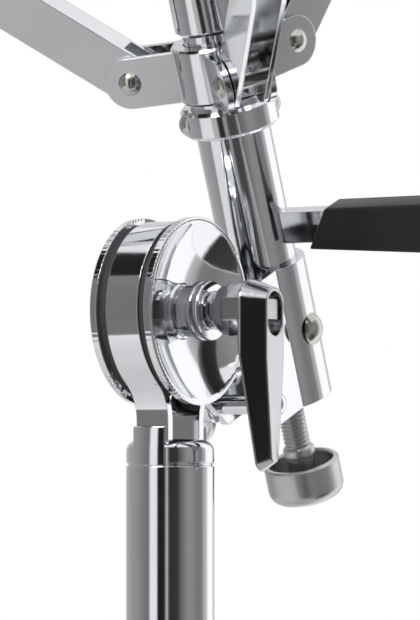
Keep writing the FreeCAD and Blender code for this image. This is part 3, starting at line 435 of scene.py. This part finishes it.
def leverHub():
    bore = lever["bore"]
    foot = lever["foot"]
    neck = lever["neck"]
    bite = lever["neckEdge"]
    hub = bmesh.new()
    collar = roundedFoot(lever["collar"], lever["neckEnd"], lever["collarRound"], lever["collarInset"])
    spinAll(hub, [(bore, foot), (neck - bite, foot), (neck, foot + bite), (neck, lever["neckEnd"]), *collar,
                  (lever["collar"], lever["collarEnd"]), (bore, lever["collarEnd"]), (bore, foot)],
            lever["round"])
    rings = [bmesh.ops.create_circle(hub, segments=lever["sides"], radius=radius)["verts"]
             for radius in (lever["flatsBore"], lever["flats"])]
    edges = list({edge for ring in rings for vert in ring for edge in vert.link_edges})
    bridge = bmesh.ops.bridge_loops(hub, edges=edges)["faces"]
    far = grownVerts(bmesh.ops.extrude_face_region(hub, geom=bridge, use_keep_orig=True))
    near = [vert for ring in rings for vert in ring]
    bmesh.ops.translate(hub, vec=upward * lever["flatsFrom"], verts=near)
    bmesh.ops.translate(hub, vec=upward * lever["flatsTo"], verts=far)
    halfFlat = Matrix.Rotation(math.pi / lever["sides"], 3, "Z")
    bmesh.ops.rotate(hub, cent=origin, matrix=halfFlat, verts=near + far)
    ends = [edge for edge in hub.edges if all(vert in rings[1] for vert in edge.verts)]
    roundEdges(hub, ends, lever["soft"], lever["softSegments"])
    bmesh.ops.recalc_face_normals(hub, faces=hub.faces)
    bmesh.ops.transform(hub, matrix=axlePlace, verts=hub.verts)
    return hub


def wingLever():
    mesh = cadCopy("wing_lever")
    cutMesh(mesh, (lever["cut"], 0, 0), (1, 0, 0), True)
    closeHoles(mesh)
    hub = leverHub()
    data = bpy.data.meshes.new("leverHub")
    hub.to_mesh(data)
    hub.free()
    mesh.from_mesh(data)
    bpy.data.meshes.remove(data)
    piece = newPiece("leverWing", mesh, inPlace, "lever", slotOf["wing_lever"], ownPaints["wing_lever"])
    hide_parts("wing_lever")
    return smooth(piece, lever["shade"])


wingLever()
print("lever hub turned")

# the rounded crown that closes the post round the strap's feet
crown = {"outside": 12.65 * mm, "seam": 12.2 * mm, "seamHalf": 0.3 * mm, "edge": 0.7 * mm,
         "shoulder": 4.2 * mm, "rise": 7.4 * mm, "spread": 1.4, "steps": 8, "shade": 30}
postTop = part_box("post_tube")[1][2]


def postCrown():
    rim = crown["outside"]
    seam = crown["seam"]
    seamLow = postTop - crown["seamHalf"]
    drop = crown["rise"] - crown["shoulder"]
    corners = [(0, seamLow), (seam, seamLow), (seam, postTop + crown["seamHalf"]),
               (rim, postTop + crown["edge"])]
    for step in range(crown["steps"]):
        turn = math.pi / 2 * step / crown["steps"]
        inset = drop * crown["spread"] * (1 - math.cos(turn))
        corners.append((rim - inset, postTop + crown["shoulder"] + drop * math.sin(turn)))
    corners.append((0, postTop + crown["rise"]))
    mesh = bmesh.new()
    spinAll(mesh, corners)
    return smooth(newPiece("postCrown", mesh, inPlace, "post", "chrome"), crown["shade"])


# the strap's two feet, curved to the post where they meet it, by their heading from +X
strapFeet = {"inside": 9.4 * mm, "outside": 12.65 * mm, "sunk": 0.2 * mm, "rise": 11.2 * mm,
             "soft": 0.6 * mm, "spread": 24.5, "steps": 14, "shade": 30}
strapHeadings = {"strapFootFront": -90, "strapFootBack": 90}


def strapFoot(name, heading):
    foot = postTop - strapFeet["sunk"]
    top = foot + strapFeet["rise"]
    inside = strapFeet["inside"]
    start = Matrix.Rotation(math.radians(heading - strapFeet["spread"]), 3, "Z")
    mesh = bmesh.new()
    line(mesh, [(inside, foot), (strapFeet["outside"], foot),
                *roundedTop(strapFeet["outside"], top, strapFeet["soft"]), (inside, top), (inside, foot)])
    weld(mesh)
    bmesh.ops.rotate(mesh, cent=origin, matrix=start, verts=mesh.verts)
    bmesh.ops.spin(mesh, geom=mesh.verts[:] + mesh.edges[:], axis=upward, cent=origin,
                   angle=math.radians(2 * strapFeet["spread"]), steps=strapFeet["steps"])
    closeHoles(mesh)
    return smooth(newPiece(name, mesh, inPlace, "post", "chrome"), strapFeet["shade"])


postCrown()
for name, heading in strapHeadings.items():
    strapFoot(name, heading)
print("post crowned")

# the yoke's cheeks run flat from the discs and the sheet then hugs the tube
wrapSheet = {"cut": -18 * mm, "meet": -8.1 * mm, "inside": 11.1 * mm, "outside": 13.4 * mm,
             "low": -46.5 * mm, "high": -3.4 * mm, "start": -48, "steps": 92, "shade": 30}


def yokeSheet():
    mesh = cadCopy("tilter_yoke", basketPlace.inverted())
    cutMesh(mesh, (0, wrapSheet["cut"], 0), (0, 1, 0), False)
    rim = [edge for edge in mesh.edges if edge.is_boundary]
    tips = grownVerts(bmesh.ops.extrude_edge_only(mesh, edges=rim))
    bmesh.ops.translate(mesh, vec=(0, wrapSheet["meet"] - wrapSheet["cut"], 0), verts=tips)
    start = math.radians(wrapSheet["start"])
    corners = [(wrapSheet["inside"], wrapSheet["low"]), (wrapSheet["outside"], wrapSheet["low"]),
               (wrapSheet["outside"], wrapSheet["high"]), (wrapSheet["inside"], wrapSheet["high"])]
    ring = [mesh.verts.new((reach * math.cos(start), reach * math.sin(start), rise))
            for reach, rise in corners]
    sides = [mesh.edges.new(pair) for pair in zip(ring, ring[1:] + ring[:1])]
    bmesh.ops.spin(mesh, geom=ring + sides, axis=upward, cent=origin, angle=math.pi - 2 * start,
                   steps=wrapSheet["steps"])
    weld(mesh)
    closeHoles(mesh)
    piece = newPiece("yokeSheet", mesh, basketPlace, "tilter", "chrome", ownPaints["tilter_yoke"])
    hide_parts("tilter_yoke")
    return smooth(piece, wrapSheet["shade"])


yokeSheet()
print("yoke wrapped")

# cast wing nut and wing bolts: a turned hub and one pair of rounded wings each
wingParts = {
    "clampWing": {"node": "clamp_wing_nut", "joint": "clamp_nut_turn", "body": "clamp_nut",
                  "out": (-1, 0, 0), "up": tubeAxis, "peak": 13.5 * mm, "span": 13.6 * mm, "hub": 5.5 * mm,
                  "high": 8.6 * mm, "bore": 3.15 * mm},
    "heightWing": {"node": "height_wing_bolt", "joint": "height_bolt_turn", "body": "height_bolt",
                   "out": (1, 0, 0), "up": upward, "peak": 13.2 * mm, "span": 16.2 * mm, "hub": 6 * mm,
                   "high": 10.8 * mm, "bore": 0},
    "collarWing": {"node": "collar_wing_bolt", "joint": "collar_bolt_turn", "body": "collar_bolt",
                   "out": (0, -1, 0), "up": upward, "peak": 13.2 * mm, "span": 18.2 * mm, "hub": 6 * mm,
                   "high": 10.8 * mm, "bore": 0}}
# columns across the wings: share of the span, foot and head in mm; the hub's ends in mm inwards and along
wingForm = {"columns": [(-1, 7.0, 12.9), (-0.68, 2.6, 13.2), (-0.3, 0.4, 7.6),
                        (0.3, 0.4, 7.6), (0.68, 2.6, 13.2), (1, 7.0, 12.9)],
            "hubFoot": [(0.4, 0), (0, 0.4)], "hubHead": [(0.2, 1.3), (0.6, 0.5), (1.5, 0)],
            "thick": 4.0 * mm, "shank": 3 * mm, "round": 48, "levels": 2, "shade": 32}


def wingHub(name, look, place, tail):
    hub = look["hub"]
    high = look["high"]
    bore = look["bore"]
    shank = wingForm["shank"]
    corners = [(hub - inset * mm, rise * mm) for inset, rise in wingForm["hubFoot"]]
    corners += [(hub - inset * mm, high - drop * mm) for inset, drop in wingForm["hubHead"]]
    corners.append((bore, high))
    if bore:
        corners = [(bore, 0)] + corners + [(bore, 0)]
    else:
        corners = [(0, tail), (shank, tail), (shank, 0)] + corners
    mesh = bmesh.new()
    spinAll(mesh, corners, wingForm["round"])
    piece = newPiece(name + "Hub", mesh, place, look["body"], slotOf[look["node"]])
    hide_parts(look["node"])
    return smooth(piece, wingForm["shade"])


def wingPair(name, look, place):
    thick = wingForm["thick"]
    mesh = bmesh.new()
    pairs = [[mesh.verts.new((across * look["span"], -thick / 2, rise * mm)) for rise in heights]
             for across, *heights in wingForm["columns"]]
    strip = [mesh.faces.new((left[0], right[0], right[1], left[1]))
             for left, right in zip(pairs, pairs[1:])]
    far = grownVerts(bmesh.ops.extrude_face_region(mesh, geom=strip, use_keep_orig=True))
    bmesh.ops.translate(mesh, vec=(0, thick, 0), verts=far)
    wings = newPiece(name + "s", mesh, place, look["body"], slotOf[look["node"]])
    wings.data.shade_smooth()
    soften = wings.modifiers.new("soften", "SUBSURF")
    soften.levels = wingForm["levels"]
    soften.render_levels = wingForm["levels"]
    return wings


for name, look in wingParts.items():
    out = Vector(look["out"])
    up = Vector(look["up"])
    pivot = jointSpot(look["joint"])
    reach = [out.dot(vert.co) for vert in nodes[look["node"]].data.vertices]
    foot = max(reach) - look["peak"]
    place = Matrix((up, out.cross(up), out)).transposed().to_4x4()
    place.translation = pivot + out * (foot - out.dot(pivot))
    wingHub(name, look, place, min(reach) - foot)
    wingPair(name, look, place)
print("wings cast")

# the inner tube that shows between the basket tube and the sleeve above it
stem = {"outside": 9.25 * mm, "inside": 5.2 * mm, "edge": 0.5 * mm, "above": 1.9 * mm, "below": 18.5 * mm,
        "round": 48, "shade": 30}


def sleeveStem():
    inside = stem["inside"]
    outside = stem["outside"]
    edge = stem["edge"]
    sleeveFoot = min(tubeAxis.dot(vert.co - tubeFoot) for vert in nodes["top_sleeve"].data.vertices)
    low = sleeveFoot - stem["below"]
    high = sleeveFoot + stem["above"]
    mesh = bmesh.new()
    spinAll(mesh, [(inside, low), (outside - edge, low), (outside, low + edge), (outside, high),
                   (inside, high), (inside, low)], stem["round"])
    return smooth(newPiece("sleeveStem", mesh, basketPlace, "carrier", "chrome"), stem["shade"])


sleeveStem()
print("stem turned")

# rubber pieces: rounded copies of the CAD solids, with angles in degrees
rubberForm = {"jacket": 1.5 * mm, "foot": 1.8 * mm, "grip": 2.2 * mm, "segments": 3, "flat": 2, "sharp": 28,
              "shade": 40}


def softCopy(node, name, body, width):
    mesh = cadCopy(node)
    bmesh.ops.dissolve_limit(mesh, angle_limit=math.radians(rubberForm["flat"]), verts=mesh.verts,
                             edges=mesh.edges)
    limit = math.radians(rubberForm["sharp"])
    sharp = [edge for edge in mesh.edges
             if len(edge.link_faces) == 2 and edge.calc_face_angle_signed() > limit]
    roundEdges(mesh, sharp, width, rubberForm["segments"])
    bmesh.ops.triangulate(mesh, faces=mesh.faces)
    piece = newPiece(name, mesh, inPlace, body, slotOf[node])
    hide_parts(node)
    return smooth(piece, rubberForm["shade"])


for number in "123":
    softCopy("arm_jacket_" + number, "jacket" + number, "arm_" + number, rubberForm["jacket"])
    softCopy("foot_" + number, "foot" + number, "leg_" + number, rubberForm["foot"])
softCopy("grip_sleeve", "gripSleeve", "tilter", rubberForm["grip"])
print("rubber rounded")

# the photo's view: the camera looks at the axle, which lies at a known pixel
view = {"azimuth": 32.06, "elevation": -2.4, "distance": 1.2, "lens": 242.5, "sensor": 36,
        "clip": (0.01, 50), "axlePixel": (170.3, 311.7), "frame": (420, 620)}
azimuth = math.radians(view["azimuth"])
elevation = math.radians(view["elevation"])
toCamera = Vector((math.sin(azimuth) * math.cos(elevation), -math.cos(azimuth) * math.cos(elevation),
                   math.sin(elevation)))
rightward = Vector((math.cos(azimuth), math.sin(azimuth), 0))


def stageSheet(name, mesh, paint, seen):
    sheet = meshObject(name, mesh, paint)
    sheet.visible_camera = seen
    sheet.visible_shadow = seen
    sheet.visible_diffuse = seen
    return sheet


# studio: a white room, dimmer where it lights matt pieces than where it is seen or mirrored
studio = {"fill": 0.55, "full": 1.0, "glow": 1.3, "reach": 1.0, "wallTop": axle.z + 0.75,
          "loftTop": axle.z + 1.5}


def setWorld():
    world = bpy.data.worlds.new("studio")
    scene.world = world
    world.use_nodes = True
    tree = world.node_tree
    back = tree.nodes["Background"]
    path = tree.nodes.new("ShaderNodeLightPath")
    seenBy = tree.nodes.new("ShaderNodeMath")
    seenBy.operation = "MAXIMUM"
    tree.links.new(path.outputs["Is Camera Ray"], seenBy.inputs[0])
    tree.links.new(path.outputs["Is Glossy Ray"], seenBy.inputs[1])
    level = tree.nodes.new("ShaderNodeMapRange")
    tree.links.new(seenBy.outputs[0], level.inputs["Value"])
    level.inputs["To Min"].default_value = studio["fill"]
    level.inputs["To Max"].default_value = studio["full"]
    tree.links.new(level.outputs["Result"], back.inputs["Strength"])
    back.inputs["Color"].default_value = white


# the floor is plain and pale near the stand and fades to white where the room's edge would be
floorLook = {"colour": (0.86, 0.86, 0.86, 1), "far": (0.8, 0.8, 0.8, 1), "fadeStart": 0.45, "fadeEnd": 2.2,
             "grain": (6.0, 2.0), "rough": (0.85, 0.95), "gloss": 0.1, "reach": 12.0, "segments": 64}


def floorPaint():
    paint = Paint("paleFloor")
    far = paint.vector("LENGTH", [paint.place], "Value")
    fade = paint.node("ShaderNodeMapRange", {"interpolation_type": "SMOOTHSTEP"},
                      {"Value": far, "From Min": floorLook["fadeStart"], "From Max": floorLook["fadeEnd"]},
                      "Result")
    grain = paint.between(paint.noise(*floorLook["grain"]), *floorLook["rough"])
    return paint.set(Base_Color=floorLook["colour"], Roughness=grain, Specular_IOR_Level=floorLook["gloss"],
                     Emission_Color=paint.blend(fade, black, floorLook["far"]), Emission_Strength=1.0)


setWorld()
floor = bmesh.new()
bmesh.ops.create_circle(floor, cap_ends=True, radius=floorLook["reach"], segments=floorLook["segments"])
stageSheet("floor", floor, floorPaint(), True)

# cards that only reflections see: angles are degrees from the camera, right positive, tones go with them
wallTone = [(-180, 0.8), (-168, 0.62), (-152, 0.58), (-146, 0.46), (-104, 0.36), (-61, 0.20), (-57, 0.24),
            (-53, 1), (-36, 1), (-32.5, 0.012), (-14.5, 0.02), (-13, 0.3), (-11.5, 0.2), (-9, 0.8),
            (-6, 0.2), (-2, 0.035), (19, 0.045), (25, 0.13), (45, 0.30), (57, 0.30), (76, 0.22),
            (90, 0.25), (96, 0.48), (104, 0.6), (108, 1.25), (140, 1.25), (146, 0.6), (180, 0.9)]
cardTone = [(-180, 0.9), (-52, 0.7), (-48, 0.54), (-35, 0.52), (-32, 0.03), (-18, 0.03), (-15, 0.36),
            (-8, 0.34), (-4, 0.08), (17, 0.07), (23, 0.32), (40, 0.36), (58, 0.06), (94, 0.04), (98, 1.2),
            (180, 1.2)]
loftLook = {"tone": 0.012, "rough": 0.9, "gloss": 0.1}


def wallPaint(name, tones):
    paint = Paint(name)
    spot = paint.vector("SUBTRACT", [paint.place, axle])
    across = paint.vector("DOT_PRODUCT", [spot, rightward], "Value")
    ahead = paint.vector("DOT_PRODUCT", [spot, toCamera], "Value")
    share = paint.math("ARCTAN2", across, ahead) * (1 / fullTurn) + 0.5
    glow = studio["glow"]
    stops = [((degrees + 180) / 360, dimmed((tone, tone, tone), 1 / glow)) for degrees, tone in tones]
    tone = paint.node("ShaderNodeValToRGB", {"stops": stops}, [share])
    return paint.set(Base_Color=black, Specular_IOR_Level=0.0, Emission_Color=tone, Emission_Strength=glow)


def loftPaint():
    return Paint("darkLoft").set(Base_Color=black, Roughness=loftLook["rough"], Emission_Color=white,
                                 Specular_IOR_Level=loftLook["gloss"], Emission_Strength=loftLook["tone"])


# each card's two ends are given as reach from the axle and height, and swept from one angle to another
wallReach = studio["reach"]
wallTop = studio["wallTop"]
loftTop = studio["loftTop"]
cards = {"frontCard": {"from": -52, "to": 180, "ends": [(0.3, 0.003), (0.98, 0.003)], "steps": 48,
                       "paint": wallPaint("frontCard", cardTone)},
         "wall": {"from": -180, "to": 180, "ends": [(wallReach, 0.002), (wallReach, wallTop)], "steps": 96,
                  "paint": wallPaint("studioWall", wallTone)},
         "darkLoft": {"from": -118, "to": -62, "ends": [(wallReach, wallTop), (wallReach, loftTop)],
                      "steps": 24, "paint": loftPaint()}}


def sweptCard(name, card):
    heading = azimuth - math.pi / 2 + math.radians(card["from"])
    out = Vector((math.cos(heading), math.sin(heading), 0))
    under = Vector((axle.x, axle.y, 0))
    mesh = bmesh.new()
    ends = [mesh.verts.new(under + out * reach + upward * rise) for reach, rise in card["ends"]]
    edge = mesh.edges.new(ends)
    bmesh.ops.spin(mesh, geom=ends + [edge], axis=upward, cent=under, steps=card["steps"],
                   angle=math.radians(card["to"] - card["from"]))
    return stageSheet(name, mesh, card["paint"], False)


for name, card in cards.items():
    sweptCard(name, card)

# lamps placed from the axle, in metres to the right, towards the camera and up
lamps = {"keyLamp": {"right": -0.9, "near": 1.0, "rise": 1.2, "size": 0.8, "power": 14},
         "fillLamp": {"right": 1.1, "near": 0.7, "rise": 0.5, "size": 0.9, "power": 7}}


def softLamp(name, look):
    data = bpy.data.lights.new(name, "AREA")
    data.size = look["size"]
    data.energy = look["power"]
    lamp = bpy.data.objects.new(name, data)
    scene.collection.objects.link(lamp)
    lamp.location = axle + rightward * look["right"] + toCamera * look["near"] + upward * look["rise"]
    lamp.rotation_mode = "QUATERNION"
    lamp.rotation_quaternion = (lamp.location - axle).to_track_quat("Z", "Y")
    return lamp


for name, look in lamps.items():
    softLamp(name, look)
print("studio set")

cameraData = bpy.data.cameras.new("photoCamera")
camera = bpy.data.objects.new("photoCamera", cameraData)
scene.collection.objects.link(camera)
cameraData.lens = view["lens"]
cameraData.sensor_width = view["sensor"]
cameraData.clip_start, cameraData.clip_end = view["clip"]
wide, tall = view["frame"]
axleRight, axleDown = view["axlePixel"]
cameraData.shift_x = (wide / 2 - axleRight) / tall
cameraData.shift_y = (axleDown - tall / 2) / tall
camera.location = axle + toCamera * view["distance"]
camera.rotation_mode = "QUATERNION"
camera.rotation_quaternion = toCamera.to_track_quat("Z", "Y")
scene.camera = camera
scene.view_settings.view_transform = "Standard"
print("camera set")
